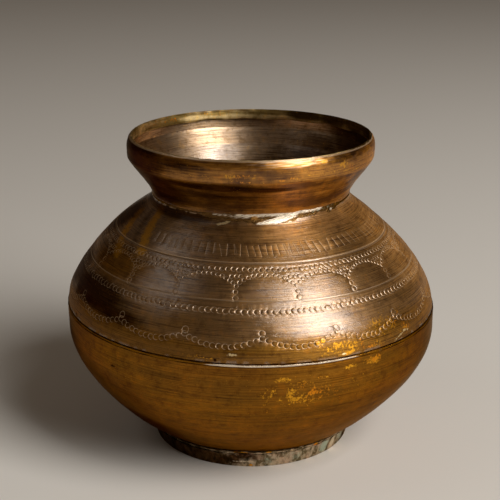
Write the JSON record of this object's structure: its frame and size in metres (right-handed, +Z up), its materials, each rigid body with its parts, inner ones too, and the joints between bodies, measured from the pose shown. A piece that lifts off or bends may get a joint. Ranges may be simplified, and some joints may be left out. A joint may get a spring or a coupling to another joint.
{
  "type": "water pot",
  "caption": "Squat round-bellied brass water pot (kalash) with a narrow neck, flared collar, flat lip and low foot ring, brazed together from turned sheet pieces.",
  "frame": {"origin": "on the pot's axis, at the level of the foot ring's underside", "axes": "+Z up along the pot's axis; -Y is the side that the picture shows, +X is to its right"},
  "size_m": [0.2116, 0.2116, 0.178],
  "materials": {
    "bowl_brass": "aged golden brown brass with fine turning lines, satin",
    "shoulder_brass": "brass under a grey-brown patina, brushed round, stamped ornament, gold where worn",
    "collar_brass": "aged golden brown brass with brush marks, rubbed bright along its crease and lip",
    "mouth_brass": "yellow-green aged brass with ragged braze along its edge",
    "foot_brass": "hammered, pitted brass with green verdigris",
    "neck_braze": "silvery, lumpy braze with greenish tints",
    "seam_braze": "dull yellow braze"
  },
  "bodies": {
    "root": {"foot_ring": "foot_brass", "foot_solder": "seam_braze", "lower_bowl": "bowl_brass", "belly_solder": "seam_braze", "upper_shell": "shoulder_brass", "neck_solder": "neck_braze", "collar": "collar_brass", "mouth_ring": "mouth_brass"}
  },
  "joints": []
}
